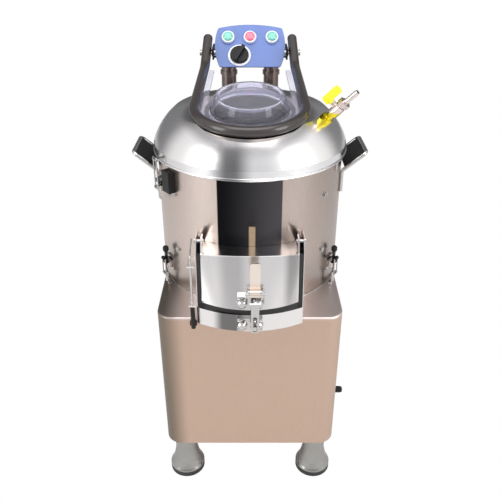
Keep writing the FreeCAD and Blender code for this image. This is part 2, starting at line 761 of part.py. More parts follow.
def make_handles():
    y = handle_half_length
    foot = math.sqrt(drum_radius ** 2 - y ** 2) + handle_rod_radius - 0.6
    path = [(foot, -y, handle_bottom), (foot, -y, handle_bend_z), (handle_reach, -y, handle_top),
            (handle_reach, y, handle_top), (foot, y, handle_bend_z), (foot, y, handle_bottom)]
    rod = bent_rod(path, handle_rod_radius, handle_bend).cut(cylinder(drum_radius, drum_top))
    keep("side_handles", rod, mirrored(rod))
    slope = Vector(handle_reach - foot, 0, handle_top - handle_bend_z)
    way = Vector(slope).normalize()
    start = Vector(foot, 0, handle_bend_z) + way * 9
    end = Vector(handle_reach, 0, handle_top) - way * (handle_rod_radius + apart)
    plate = bar(tuple(start), tuple(end), 2 * (y - handle_rod_radius - apart), insert_thickness)
    middle_z = (handle_bend_z + handle_top) / 2
    tips = [e for e in plate.Edges if e.Length < insert_thickness + slack and e.CenterOfMass.z > middle_z]
    plate = plate.makeFillet(handle_bend - handle_rod_radius, tips)
    keep("handle_inserts", plate, mirrored(plate))


def make_chute():
    drum = cylinder(drum_radius, drum_top)
    front = door_side_y - 1
    apron = Part.Face(band(cheek_outer, apron_side_y - sheet, apron_nose_y - sheet, sheet, apron_top))
    apron = apron.extrude(Vector(0, 0, apron_bottom - apron_top))
    outline = [(-150, cabinet_top), (-150, 622), (-184, 640), (-216, 640), (door_top_side_y - 1, door_top + 1),
               (front, door_bottom - 6), (front, cabinet_top)]
    plate = side_plate(outline, cheek_inner, cheek_outer).cut(drum)
    plate = plate.cut(cylinder(door_pin_radius + running, 60, Vector(80, door_axis_y, door_axis_z), X_OUT))
    floor = Part.Face(bow_face(cheek_inner, apron_side_y, apron_nose_y, -150, apron_top - sheet))
    floor = floor.extrude(Vector(0, 0, sheet)).cut(drum)
    body = plate.fuse([mirrored(plate), floor, apron])
    rod_hole = cylinder(rod_radius + slack, 400, Vector(rod_x, rod_y, 300))
    for z in rod_guides:
        guide = block(rod_x - 7, -cheek_outer, rod_y - 8, guide_rear, z, z + guide_thickness)
        body = body.fuse(guide.cut(rod_hole))
    keep("chute_body", body)

    lip = door_half_width + door_gap
    seal = Part.Face(band(lip, door_side_y + 2, door_nose_y + 3, 6, apron_top))
    seal = seal.extrude(Vector(0, 0, door_bottom - apron_top - apart))
    edge = [(door_top_side_y + 1, door_top - 1), (door_side_y + 1, door_bottom - 6),
            (door_side_y + 1, apron_top), (door_side_y + 10, apron_top),
            (door_side_y + 10, door_bottom - 6), (door_top_side_y + 10, door_top - 1)]
    strip = side_plate(edge, lip, cheek_inner)
    keep("door_gasket", seal.fuse([strip, mirrored(strip)]))


def door_body():
    """The space behind the door's outer face, used to seat what is fixed on it."""
    return Part.makeLoft([bow_face(door_half_width, door_side_y, door_nose_y, -200, door_bottom),
                          bow_face(door_half_width, door_top_side_y, door_top_nose_y, -200, door_top)],
                         True, True)


def make_door():
    bottom = band(door_half_width, door_side_y, door_nose_y, sheet, door_bottom)
    top = band(door_half_width, door_top_side_y, door_top_nose_y, sheet, door_top)
    panel = Part.makeLoft([bottom, top], True, True)
    rear = drum_radius + 0.8
    hood = Part.Face(bow_face(door_half_width, door_top_side_y, door_top_nose_y, -150, door_top))
    hood = hood.extrude(Vector(0, 0, sheet)).cut(cylinder(rear, drum_top))
    rear_y = -math.sqrt(rear ** 2 - door_half_width ** 2)
    foot = door_top + sheet
    ear = side_plate([(rear_y - 3, foot), (-194, door_axis_z + 10), (-216, door_axis_z + 10),
                      (door_top_side_y + 2, foot)], door_half_width - 3, door_half_width)
    ear = ear.cut(cylinder(door_pin_radius + running, 60, Vector(80, door_axis_y, door_axis_z), X_OUT))
    keep("door_panel", panel.fuse([hood, ear, mirrored(ear)]))

    inner = door_half_width - 5
    pin = cylinder(door_pin_radius, cheek_outer - inner + 1, Vector(inner, door_axis_y, door_axis_z), X_OUT)
    pin = pin.fuse(cylinder(7, 3, Vector(cheek_outer, door_axis_y, door_axis_z), X_OUT))
    keep("door_pins", pin, mirrored(pin))


def saddle(front_y, low, high, seat):
    """A latch bracket with two rounded lobes, seated on what carries it."""
    w, middle = saddle_half_width, (low + high) / 2
    body = block(-w, w, front_y, front_y + 30, low, high).cut(seat)
    profile = [(0, 0), (lobe_radius, 0), (lobe_radius - 2, lobe_length - 3), (lobe_radius - 5, lobe_length),
               (0, lobe_length)]
    return body.fuse([turned(profile, Vector(x, front_y, middle), FORWARD) for x in (-lobe_x, lobe_x)])


def make_door_latch():
    y, z, half = latch_axis_y, latch_axis_z, lever_width / 2
    solid_door = door_body()
    bracket = saddle(upper_saddle_front, 517, 545, solid_door)
    for x in (latch_x - half - 8, latch_x + half + 5):
        ear = side_plate([(-255, 543), (upper_saddle_front, 530), (y - 6, z - 4), (y - 6, z + 5), (y + 2, z + 8),
                          (-258, 559)], x, x + 3)
        bracket = bracket.fuse(ear.cut(solid_door))
    pin = cylinder(latch_pin_radius, lever_width + 20, Vector(latch_x - half - 10, y, z), X_OUT)
    keep("door_latch_bracket", bracket.fuse(pin))

    link_y, link_z = y - link_out, z + link_up
    left, right = latch_x - half, latch_x + half
    grip = block(left, right, y - lever_thickness / 2, y + lever_thickness / 2, z, z + lever_length)
    tips = [e for e in grip.Edges if abs(e.tangentAt(e.FirstParameter).y) > 0.99 and e.CenterOfMass.z > z + 1]
    lever = grip.makeFillet(5, tips).fuse([cylinder(6, lever_width, Vector(left, y, z), X_OUT),
                                           cylinder(5, lever_width, Vector(left, link_y, link_z), X_OUT),
                                           block(left, right, link_y, y, link_z - 3, link_z + 3)])
    bores = [cylinder(latch_pin_radius + running, 60, Vector(left - 20, y, z), X_OUT),
             cylinder(link_pin_radius + running, 60, Vector(left - 20, link_y, link_z), X_OUT)]
    keep("door_lever", lever.cut(bores))

    back, face = link_y + 2, link_y - 2
    plate_top = z - 16
    link = block(latch_x - 8, latch_x + 8, face, back, stud_z - 10, plate_top)
    link = link.fuse([cylinder(10, back - face, Vector(latch_x, back, stud_z - 4), FORWARD),
                      block(left - 3.4, right + 3.4, face, back, plate_top - 6, plate_top)])
    slot_radius = stud_radius + 0.9
    slot_ends = (stud_z - 7, stud_z + 20)
    slot = block(latch_x - slot_radius, latch_x + slot_radius, face - 2, back + 2, *slot_ends)
    slot = slot.fuse([cylinder(slot_radius, 10, Vector(latch_x, back + 3, s), FORWARD) for s in slot_ends])
    link = link.cut(slot)
    for x in (left - 3.4, right + 0.6):
        link = link.fuse([block(x, x + 2.8, face, back, plate_top - 6, link_z),
                          cylinder(4.5, 2.8, Vector(x, link_y, link_z), X_OUT)])
    pin = cylinder(link_pin_radius, lever_width + 6.8, Vector(left - 3.4, link_y, link_z), X_OUT)
    keep("door_link", link.fuse(pin))

    apron = Part.Face(bow_face(cheek_outer, apron_side_y - sheet, apron_nose_y - sheet, -150, apron_bottom))
    apron = apron.extrude(Vector(0, 0, apron_top - apron_bottom))
    keeper = saddle(lower_saddle_front, 467, 496, apron)
    stud = cylinder(stud_radius, stud_length, Vector(latch_x, lower_saddle_front, stud_z), FORWARD)
    keep("keeper_bracket", keeper.fuse(stud))


def toggle(name, angle, height, up, reach):
    """A draw latch on the drum wall, its lever on the up side and its wire link on the other."""
    wall = -drum_radius
    axis_y = wall - toggle_stand_off
    link_y, link_z, end = axis_y - toggle_out, up * toggle_up, -up * reach
    plate = block(-15, 15, wall - 4, wall + 8, -15, 15).cut(cylinder(drum_radius, 60, Vector(0, 0, -30)))
    ears = [side_plate([(wall - 3, -9), (axis_y - 4, -4), (axis_y - 4, 4), (wall - 3, 9)], x, x + 2)
            for x in (-12.5, 10.5)]
    pin = cylinder(toggle_pin_radius, 27, Vector(-13.5, axis_y, 0), X_OUT)
    bracket = plate.fuse(ears + [pin])

    low, high = sorted((0, up * toggle_lever_length))
    lever = block(-6, 6, axis_y - 1.5, axis_y + 1.5, low, high)
    lever = lever.fuse([cylinder(4.5, 12, Vector(-6, axis_y, 0), X_OUT),
                        cylinder(4, 12, Vector(-6, link_y, link_z), X_OUT),
                        block(-6, 6, link_y, axis_y, link_z - 2, link_z + 2)])
    if up > 0:
        knob = [(0, 0), (4.5, 0), (6.5, 4), (6.5, 10), (4.5, 13), (0, 13)]
        lever = lever.fuse(turned(knob, Vector(0, axis_y, toggle_lever_length - 10)))
    lever = lever.cut([cylinder(toggle_pin_radius + running, 40, Vector(-20, axis_y, 0), X_OUT),
                       cylinder(toggle_wire_radius + running, 40, Vector(-20, link_y, link_z), X_OUT)])
    r, half = toggle_wire_radius, toggle_wire_x
    wires = [cylinder(r, abs(end - link_z), Vector(x, link_y, min(end, link_z))) for x in (-half, half)]
    wires += [cylinder(r, 2 * half, Vector(-half, link_y, z), X_OUT) for z in (end, link_z)]
    wires += [Part.makeSphere(r, Vector(x, link_y, z)) for x in (-half, half) for z in (end, link_z)]
    for node, shape in (("latch_brackets", bracket), (name + "_lever", lever),
                        (name + "_link", wires[0].fuse(wires[1:]))):
        shape.translate(Vector(0, 0, height))
        keep(node, spun(shape, angle))
    return link_y, height + end


def make_latches():
    for name, angle in (("left_latch", -toggle_angle), ("right_latch", toggle_angle)):
        y, z = toggle(name, angle, toggle_axis_z, 1, toggle_drop)
        lip = z + toggle_wire_radius + apart
        hook = block(-6, 6, y + 3, y + 6, cabinet_top, lip + 3)
        hook = hook.fuse([block(-6, 6, y - 3.5, y + 6, lip, lip + 3),
                          block(-8, 8, y + 3, y + 13, cabinet_top, cabinet_top + 2)])
        keep("latch_keepers", spun(hook, angle))
    y, z = toggle("lid_latch", lid_latch_angle, lid_latch_axis_z, -1, lid_latch_rise)
    top = z - toggle_wire_radius - apart
    lug = block(-6, 6, y - 3.5, -drum_radius, top - 3, top).cut([dome(0), rim_bead()])
    keep("latch_keepers", spun(lug, lid_latch_angle))
    drum = cylinder(drum_radius, drum_top)
    clip = block(-5, 5, -drum_radius - 2.2, -drum_radius + 2, 736, 749).cut(drum)
    keep("latch_keepers", spun(clip, -lid_latch_angle))
    switch = block(-13, 13, -drum_radius - 15, -drum_radius + 8, 700, 745).cut(drum)
    keep("lid_safety_switch", spun(switch, safety_switch_angle))


def make_switch_rod():
    rod = cylinder(rod_radius, rod_top - rod_bottom, Vector(rod_x, rod_y, rod_bottom))
    hook = bent_rod([(rod_x, rod_y, rod_top - 2), (rod_x, rod_y, rod_top + 14), (rod_x, rod_y + 42, rod_top + 32),
                     (rod_x, rod_y + 54, rod_top + 24)], 1.5, 4)
    keep("switch_rod", rod.fuse(hook))
    sleeve_top = rod_guides[0] - apart
    bore = cylinder(rod_radius + slack, 100, Vector(rod_x, rod_y, sleeve_bottom + 5))
    sleeve = cylinder(sleeve_radius, sleeve_top - sleeve_bottom, Vector(rod_x, rod_y, sleeve_bottom))
    clamp = block(rod_x - 7, rod_x + 7, rod_y, cabinet_front, cabinet_top - 14, cabinet_top - 6)
    keep("switch_sleeve", sleeve.fuse(clamp).cut(bore))


def valve_point(t, q=0.0, c=0.0):
    """A point of the valve: along its bore, towards the lever, and across."""
    axis = Vector(*valve_direction).normalize()
    level = Z_UP.cross(axis).normalize()
    return Vector(*valve_foot) + axis * t + axis.cross(level) * q + level * c


def valve_cylinder(radius, t0, t1):
    start = valve_point(t0)
    return cylinder(radius, t1 - t0, start, valve_point(t1) - start)


def make_valve():
    axis = valve_point(1) - valve_point(0)
    towards_lever = valve_point(0, 1) - valve_point(0)
    profile = [(0, -4), (13, -4), (13, 10), (8, 12), (8, 20), (11, 22), (11, 44), (8, 46), (8, 48), (0, 48)]
    body = turned(profile, valve_point(0), axis).cut(dome(0))
    spray = [(0, -30), (12, -30), (12, -24), (spigot_radius, -15), (0, -15)]
    neck = cylinder(6, 8, valve_point(valve_stem_t, 8), towards_lever)
    body = body.fuse([valve_cylinder(spigot_radius, -16, 10), turned(spray, valve_point(0), axis), neck])
    stem_bore = cylinder(valve_stem_radius + running, 6, valve_point(valve_stem_t, 11), towards_lever)
    keep("valve_body", body.cut([valve_cylinder(valve_bore, -31, 49), stem_bore]))

    corners = [valve_point(48, 12.5 * math.cos(a), 12.5 * math.sin(a))
               for a in (math.radians(60 * n) for n in range(6))]
    nut = Part.Face(Part.makePolygon(corners + [corners[0]])).extrude(axis * 10)
    barb = [(0, 48), (barb_radius + 1, 48), (barb_radius + 1, 62)]
    for n in range(barb_count):
        t = 62 + 7 * n
        barb += [(barb_radius + 0.8, t), (barb_radius - 0.4, t + 7)]
    barb = turned(barb + [(0, 62 + 7 * barb_count)], valve_point(0), axis)
    keep("hose_barb", nut.fuse(barb).cut(valve_cylinder(valve_bore, 47, 91)))

    outline = ((25, 20), (63, 20), (66, 23), (66, 34), (63, 37), (28, 37), (25, 34))
    corners = [valve_point(t, q, -3) for t, q in outline]
    blade = Part.Face(Part.makePolygon(corners + [corners[0]])).extrude(valve_point(0, 0, 6) - valve_point(0))
    stem = cylinder(valve_stem_radius, 12, valve_point(valve_stem_t, 11.5), towards_lever)
    hub = cylinder(6, 6, valve_point(valve_stem_t, 16.4), towards_lever)
    keep("valve_lever", blade.fuse([stem, hub]))


make_cabinet()
make_feet()
make_drum()
make_turning_group()
make_lid()
make_cover()
make_faceplate()
make_box()
make_controls()
make_cover_hinge()
make_handles()
make_chute()
make_door()
make_door_latch()
make_latches()
make_switch_rod()
make_valve()

os.makedirs("parts", exist_ok=True)
for name, solids in nodes.items():
    shape = solids[0] if len(solids) == 1 else Part.makeCompound(solids)
    if not shape.isValid():
        print("not valid:", name)
    shape.exportStep(os.path.join("parts", name + ".step"))
    print(name, len(solids), "solids,", round(shape.Volume / 1000, 1), "cm3")
print(len(nodes), "nodes,", sum(len(s) for s in nodes.values()), "solids")
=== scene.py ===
# %% [markdown]
# # An electric potato peeler
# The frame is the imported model: every piece sits where it says, in metres, with the drum's axis at
# X = Y = 0, the front towards -Y and the floor at z = 0. This script gives each surface its finish, adds
# the weld round the drum's foot, and sets the camera and the light of a studio.

# %% Load the frame
import math

import bpy
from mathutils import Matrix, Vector


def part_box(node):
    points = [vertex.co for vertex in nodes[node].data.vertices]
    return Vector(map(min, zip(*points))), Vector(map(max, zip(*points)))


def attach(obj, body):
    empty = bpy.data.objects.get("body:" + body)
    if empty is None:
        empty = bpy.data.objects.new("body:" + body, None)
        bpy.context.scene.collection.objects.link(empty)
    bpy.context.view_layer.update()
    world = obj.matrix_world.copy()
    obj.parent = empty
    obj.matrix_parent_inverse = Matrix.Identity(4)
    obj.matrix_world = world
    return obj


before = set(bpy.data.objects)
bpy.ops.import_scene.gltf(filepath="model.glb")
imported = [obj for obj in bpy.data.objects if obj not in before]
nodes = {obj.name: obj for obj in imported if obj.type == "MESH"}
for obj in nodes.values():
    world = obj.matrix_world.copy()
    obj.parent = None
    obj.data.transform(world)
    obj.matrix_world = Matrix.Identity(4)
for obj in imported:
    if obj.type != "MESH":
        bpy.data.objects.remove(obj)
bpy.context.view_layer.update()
scene = bpy.context.scene

# %% [markdown]
# ## Building materials from nodes
# A material here is a small graph. It could be clicked together by hand, but a graph made by functions can
# be read and changed in one place. The first helper makes an empty material with one Principled shader,
# and the next two add a sum and read the point being shaded in the object's own coordinates. That keeps a
# finish on its piece when the piece moves.

# %% Materials and sums
def new_material(name):
    material = bpy.data.materials.new(name)
    material.use_nodes = True
    tree = material.node_tree
    tree.nodes.clear()
    output = tree.nodes.new("ShaderNodeOutputMaterial")
    shader = tree.nodes.new("ShaderNodeBsdfPrincipled")
    tree.links.new(shader.outputs[0], output.inputs[0])
    return material, tree, shader


def math_node(tree, kind, a, b=None, c=None):
    node = tree.nodes.new("ShaderNodeMath")
    node.operation = kind
    for socket, value in zip(node.inputs, (a, b, c)):
        if value is None:
            continue
        if isinstance(value, (int, float)):
            socket.default_value = value
        else:
            tree.links.new(value, socket)
    return node.outputs[0]


def object_point(tree):
    return tree.nodes.new("ShaderNodeTexCoord").outputs["Object"]


def axes(tree):
    split = tree.nodes.new("ShaderNodeSeparateXYZ")
    tree.links.new(object_point(tree), split.inputs[0])
    return split.outputs


print("Blender:", bpy.app.version_string)

# %% [markdown]
# ## Patterns and soft edges
# Noise gives grain, and stretching it gives brushing. A real reflection has soft edges, so every mask below
# eases from 0 to 1 and back. A mask says where a second colour shows, and a mix puts it there.

# %% Noise, masks and mixing
def noise(tree, scale, stretch=(1, 1, 1), detail=3.0):
    mapping = tree.nodes.new("ShaderNodeMapping")
    mapping.inputs["Scale"].default_value = stretch
    tree.links.new(object_point(tree), mapping.inputs["Vector"])
    texture = tree.nodes.new("ShaderNodeTexNoise")
    texture.inputs["Scale"].default_value = scale
    texture.inputs["Detail"].default_value = detail
    tree.links.new(mapping.outputs[0], texture.inputs["Vector"])
    return texture.outputs["Fac"]


def smooth_step(tree, value, start, end):
    """0 before start, 1 after end, eased between them."""
    node = tree.nodes.new("ShaderNodeMapRange")
    node.interpolation_type = "SMOOTHSTEP"
    tree.links.new(value, node.inputs["Value"])
    node.inputs["From Min"].default_value = start
    node.inputs["From Max"].default_value = end
    return node.outputs["Result"]


def smooth_fall(tree, value, start, end):
    """1 before start, 0 after end, eased between them."""
    return math_node(tree, "SUBTRACT", 1.0, smooth_step(tree, value, start, end))


def band(tree, value, low, high, edge):
    """1 between low and high, with soft edges."""
    rise = smooth_step(tree, value, low - edge, low + edge)
    fall = smooth_step(tree, value, high - edge, high + edge)
    return math_node(tree, "SUBTRACT", rise, fall)


def mix_color(tree, fac, a, b):
    node = tree.nodes.new("ShaderNodeMix")
    node.data_type = "RGBA"
    for socket, value in ((node.inputs["Factor"], fac), (node.inputs[6], a), (node.inputs[7], b)):
        if isinstance(value, tuple):
            socket.default_value = (*value, 1)
        else:
            tree.links.new(value, socket)
    return node.outputs[2]


def overlay(tree, tint, mask, strength, color):
    """Lays a colour over the tint where the mask is, at a given strength."""
    return mix_color(tree, math_node(tree, "MULTIPLY", mask, strength), tint, color)


def add_bump(tree, shader, height, strength, distance):
    bump = tree.nodes.new("ShaderNodeBump")
    bump.inputs["Strength"].default_value = strength
    bump.inputs["Distance"].default_value = distance
    tree.links.new(height, bump.inputs["Height"])
    tree.links.new(bump.outputs[0], shader.inputs["Normal"])


def scaled_color(color, factor):
    return tuple(c * factor for c in color)


# %% [markdown]
# ## Sheet steel
# The machine is mostly satin stainless steel. Brushing is noise stretched along the strokes: across them it
# changes quickly, along them hardly at all. It changes the colour a little and the roughness more, which is
# what spreads a highlight across the grain. A picture of brushed metal would look right from one distance
# only, and noise stays sharp at any.

# %% Steel
def steel(name, color, roughness, grain, scale, shade=None):
    """A brushed metal. shade, if given, paints light, shade, reflections or a yellow foot on its colour."""
    line_tint, line_spread = 0.25, 0.16
    line_bump, line_depth = 0.12, 0.0004
    cloud_scale, cloud_tint = 6.0, 0.15
    line_color = scaled_color(color, 0.7)
    cloud_color = scaled_color(color, 0.8)
    material, tree, shader = new_material(name)
    lines = noise(tree, scale, grain)
    cloud = noise(tree, cloud_scale)
    tint = overlay(tree, color, lines, line_tint, line_color)
    tint = overlay(tree, tint, cloud, cloud_tint, cloud_color)
    if shade:
        tint = shade(tree, tint)
    tree.links.new(tint, shader.inputs["Base Color"])
    shader.inputs["Metallic"].default_value = 1.0
    spread = math_node(tree, "MULTIPLY_ADD", lines, line_spread, roughness - line_spread / 2)
    tree.links.new(spread, shader.inputs["Roughness"])
    add_bump(tree, shader, lines, line_bump, line_depth)
    return material


LEVEL = (1, 1, 12)
UPRIGHT = (12, 12, 1)
EVEN = (4, 4, 4)
print("grains:", LEVEL, UPRIGHT, EVEN)

# %% [markdown]
# ## The drum
# The polished drum shows an upright dark stripe with a thin bright line in it, and a dark edge at its left.
# They are taken as the room mirrored in the steel, and painted on as reflections. Building that room round
# the machine would mirror it in everything else too. The drum is round, so a place on it is an angle round
# its axis, and the stripe is laid by that angle. The right half and the foot get a little painted shade
# too.

# %% Drum steel
def around(tree):
    """The angle round the drum's axis in degrees: 0 at the front, positive to the right."""
    x, y, _ = axes(tree)
    angle = math_node(tree, "ARCTAN2", x, math_node(tree, "MULTIPLY", y, -1.0))
    return math_node(tree, "MULTIPLY", angle, 180 / math.pi)


drum_right = (-20.0, 40.0)
drum_low = (0.48, 0.60)
stripe_sides = (-18.8, 18.4)
stripe_fade = (-18.0, 18.0)
stripe_bottom = (0.50, 0.56)
glint_sides = (-0.6, 3.0)
glint_top = (0.655, 0.658)
left_rim = (-89.0, -76.5)
stripe_black = (0.007, 0.007, 0.008)
stripe_grey = (0.072, 0.068, 0.074)
glint_brown = (0.55, 0.42, 0.28)
rim_black = (0.02, 0.018, 0.016)


def drum_shade(tree, tint):
    angle = around(tree)
    height = axes(tree)[2]
    # Painted shade: the right half and the foot a little darker.
    right = smooth_step(tree, angle, *drum_right)
    tint = overlay(tree, tint, right, strength=0.30, color=(0.10, 0.07, 0.06))
    foot = smooth_fall(tree, height, *drum_low)
    tint = overlay(tree, tint, foot, strength=0.28, color=(0.10, 0.09, 0.09))

    # Painted reflections: the dark stripe, the bright glint in it and the dark left edge.
    dark = mix_color(tree, smooth_step(tree, angle, *stripe_fade), stripe_black, stripe_grey)
    stripe = band(tree, angle, *stripe_sides, edge=0.35)
    above_door = smooth_step(tree, height, *stripe_bottom)
    tint = mix_color(tree, math_node(tree, "MULTIPLY", stripe, above_door), tint, dark)

    glint = band(tree, angle, *glint_sides, edge=0.4)
    below_top = smooth_fall(tree, height, *glint_top)
    tint = overlay(tree, tint, glint, strength=below_top, color=glint_brown)
    rim = band(tree, angle, *left_rim, edge=1.0)
    return mix_color(tree, rim, tint, rim_black)


drum_steel = steel("drum_steel", (0.61, 0.52, 0.47), roughness=0.30, grain=UPRIGHT, scale=50,
                   shade=drum_shade)
print("stripe:", round(stripe_sides[1] - stripe_sides[0], 1), "degrees wide")

# %% [markdown]
# ## The lid and its collar
# The lid curves both ways, so its painted dark reflection is softer than the drum's. It is laid in the same
# way, a little left of the middle, and painted shade darkens the lid towards the back and close to the
# collar. Painted reflections make the collar bright at left, dark left of the middle and grey at right.

# %% Lid and collar steel
collar_y = -0.061
collar_reach = (0.124, 0.143)
lid_left = (-30.0, 6.0)
lid_band = (-18.0, -3.0)
lid_back = (-0.04, 0.09)
collar_band = (-18.0, 2.0)
collar_right = (0.0, 12.0)


def lid_shade(tree, tint):
    angle = around(tree)
    x, y, _ = axes(tree)
    # Painted shade and reflection: a little at the left, a dark band, the back and a ring by the collar.
    left = smooth_fall(tree, angle, *lid_left)
    tint = overlay(tree, tint, left, strength=0.10, color=(0.16, 0.15, 0.15))
    dark = band(tree, angle, *lid_band, edge=6.0)
    tint = overlay(tree, tint, dark, strength=0.86, color=(0.09, 0.09, 0.10))
    back = smooth_step(tree, y, *lid_back)
    tint = overlay(tree, tint, back, strength=0.80, color=(0.12, 0.115, 0.115))
    behind = math_node(tree, "ADD", y, -collar_y)
    square = math_node(tree, "MULTIPLY", behind, behind)
    reach = math_node(tree, "SQRT", math_node(tree, "MULTIPLY_ADD", x, x, square))
    near = smooth_fall(tree, reach, *collar_reach)
    return overlay(tree, tint, near, strength=0.65, color=(0.20, 0.19, 0.19))


def collar_shade(tree, tint):
    angle = around(tree)
    # Painted reflections: a dark band left of the middle and grey at the right.
    dark = band(tree, angle, *collar_band, edge=5.0)
    tint = overlay(tree, tint, dark, strength=0.8, color=(0.10, 0.10, 0.11))
    right = smooth_step(tree, angle, *collar_right)
    return overlay(tree, tint, right, strength=0.45, color=(0.20, 0.19, 0.20))


lid_steel = steel("lid_steel", (0.97, 0.96, 0.97), roughness=0.24, grain=LEVEL, scale=50, shade=lid_shade)
collar_steel = steel("collar_steel", (0.74, 0.66, 0.60), roughness=0.18, grain=LEVEL, scale=50,
                     shade=collar_shade)
print("lid and collar:", lid_steel.name, collar_steel.name)

# %% [markdown]
# ## The door, the apron and the cabinet
# The door and the apron under it are bowed sheets, bright on the whole, with a painted dark reflection in
# an upright band left of the latch. The door has a second painted band near its right edge. The cabinet is
# rougher and warmer: painted light makes it paler on top, where it faces upward, and painted shade darker
# where its left corner turns away. These bands stand at a place across the machine, so they are laid by X
# and by height.

# %% Door, apron and cabinet steel
door_left_band = (-0.058, -0.012)
door_right_band = (0.072, 0.100)
apron_band = (-0.066, -0.018)
cabinet_top = (0.464, 0.470)
cabinet_corner = (-0.185, -0.135)


def door_shade(tree, tint):
    x = axes(tree)[0]
    # Painted reflections: a dark upright band left of the latch and one near the right edge.
    left = band(tree, x, *door_left_band, edge=0.014)
    tint = overlay(tree, tint, left, strength=0.38, color=(0.2, 0.2, 0.21))
    right = band(tree, x, *door_right_band, edge=0.01)
    return overlay(tree, tint, right, strength=0.6, color=(0.16, 0.15, 0.15))


def apron_shade(tree, tint):
    # Painted reflection: a dark upright band left of the latch.
    dark = band(tree, axes(tree)[0], *apron_band, edge=0.012)
    return overlay(tree, tint, dark, strength=0.85, color=(0.06, 0.06, 0.06))


def cabinet_shade(tree, tint):
    x, _, height = axes(tree)
    # Painted light on the top, and painted shade where the left corner turns away.
    top = smooth_step(tree, height, *cabinet_top)
    tint = overlay(tree, tint, top, strength=0.85, color=(0.78, 0.70, 0.68))
    corner = smooth_fall(tree, x, *cabinet_corner)
    return overlay(tree, tint, corner, strength=0.85, color=(0.14, 0.12, 0.09))


door_steel = steel("door_steel", (0.98, 0.96, 0.95), roughness=0.20, grain=UPRIGHT, scale=60,
                   shade=door_shade)
apron_steel = steel("apron_steel", (0.76, 0.74, 0.73), roughness=0.22, grain=UPRIGHT, scale=60,
                    shade=apron_shade)
cabinet_steel = steel("cabinet_steel", (0.56, 0.41, 0.325), roughness=0.42, grain=UPRIGHT, scale=70,
                      shade=cabinet_shade)
print("sheets:", door_steel.name, apron_steel.name, cabinet_steel.name)

# %% [markdown]
# ## Small metal pieces
# The valve, its barb and the small fittings have an even grain. The feet and the motor's pulley are turned
# about an upright axis, so their lines run round them, and the lever, the box and the posts are brushed one
# way. The inlet's foot is yellow like its lever and bare metal above, with the change at one height.

# %% Small metals
valve_foot = (0.851, 0.855)


def valve_shade(tree, tint):
    yellow = (0.86, 0.70, 0.04)
    return mix_color(tree, smooth_fall(tree, axes(tree)[2], *valve_foot), tint, yellow)


valve_metal = steel("valve_metal", (0.80, 0.70, 0.66), roughness=0.24, grain=EVEN, scale=90,
                    shade=valve_shade)
barb_metal = steel("barb_metal", (0.78, 0.69, 0.66), roughness=0.24, grain=EVEN, scale=90)
bright_steel = steel("bright_steel", (0.56, 0.55, 0.54), roughness=0.18, grain=EVEN, scale=90)
lever_steel = steel("lever_steel", (0.86, 0.76, 0.68), roughness=0.35, grain=UPRIGHT, scale=80)
foot_steel = steel("foot_steel", (0.36, 0.355, 0.34), roughness=0.20, grain=LEVEL, scale=50)
box_steel = steel("box_steel", (0.55, 0.53, 0.52), roughness=0.35, grain=LEVEL, scale=60)
post_metal = steel("post_metal", (0.19, 0.15, 0.14), roughness=0.28, grain=UPRIGHT, scale=60)
machined_iron = steel("machined_iron", (0.30, 0.30, 0.31), roughness=0.40, grain=LEVEL, scale=80)
print("metals so far:", len(bpy.data.materials))

# %% [markdown]
# ## Moulded plastic, rubber and cast metal
# A moulded surface has a very fine pebble and a slow drift in its colour. The pebble goes into the bump and
# the roughness, so that a highlight breaks up as it does on a real housing. Rubber is the same with a
# duller surface, and cast metal the same with a coarser grain.

# %% Moulded surfaces
def moulded(name, color, roughness, pebble=900.0, strength=0.08, coat=0.0, gloss=0.5):
    drift_scale, drift_gain, drift_lift = 14.0, 1.18, 0.004
    pebble_spread, pebble_depth = 0.12, 0.0002
    material, tree, shader = new_material(name)
    paler = tuple(min(1.0, c * drift_gain + drift_lift) for c in color)
    tint = mix_color(tree, noise(tree, drift_scale), color, paler)
    tree.links.new(tint, shader.inputs["Base Color"])
    fine = noise(tree, pebble, detail=2.0)
    spread = math_node(tree, "MULTIPLY_ADD", fine, pebble_spread, roughness - pebble_spread / 2)
    tree.links.new(spread, shader.inputs["Roughness"])
    shader.inputs["Coat Weight"].default_value = coat
    shader.inputs["Specular IOR Level"].default_value = gloss
    add_bump(tree, shader, fine, strength, pebble_depth)
    return material


black_plastic = moulded("black_plastic", (0.010, 0.010, 0.010), 0.42, gloss=0.2)
bail_plastic = moulded("bail_plastic", (0.030, 0.024, 0.022), 0.24, pebble=400.0, strength=0.03, coat=0.3)
panel_blue = moulded("panel_blue", (0.070, 0.132, 0.385), 0.33, pebble=1400.0, strength=0.05, coat=0.25)
white_plastic = moulded("white_plastic", (0.74, 0.76, 0.82), 0.30)
yellow_plastic = moulded("yellow_plastic", (0.86, 0.78, 0.02), 0.32, pebble=700.0, strength=0.05, coat=0.3)
rubber = moulded("rubber", (0.016, 0.016, 0.016), 0.62, pebble=600.0, strength=0.2)
cast = moulded("cast_aluminium", (0.42, 0.43, 0.45), 0.5, pebble=300.0, strength=0.3)
print("with moulded surfaces:", len(bpy.data.materials))

# %% [markdown]
# ## Button caps
# A push button's cap is translucent and looks lit from inside, paler towards its middle. A lamp inside each
# cap would do it too, at the cost of render time. Here the colour depends on the distance from the cap's
# centre, which comes from its box in the frame.

